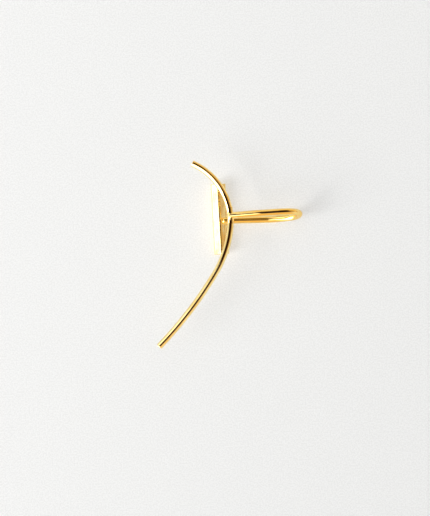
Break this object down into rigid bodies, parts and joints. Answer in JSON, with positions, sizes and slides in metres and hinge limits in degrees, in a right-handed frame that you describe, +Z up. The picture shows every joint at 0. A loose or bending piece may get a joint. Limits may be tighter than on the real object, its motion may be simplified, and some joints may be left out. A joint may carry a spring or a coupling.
{
  "type": "clip-on earring",
  "caption": "Clip-on earring in round gold-coloured wire: a long curved front wire, a narrow loop round the lobe's edge and a square bar behind, soldered in one.",
  "frame": {"origin": "middle of the whole earring's box, on the surface that it lies on", "axes": "+X out along the ear loop, +Y along the back bar towards the short end of the front wire, +Z up from the surface it lies on, from the back of the ear to the front"},
  "size_m": [0.0306, 0.0374, 0.0077],
  "materials": {
    "gold": "polished yellow gold plating with faint polishing marks"
  },
  "bodies": {
    "root": {"earring": "gold"}
  },
  "joints": []
}
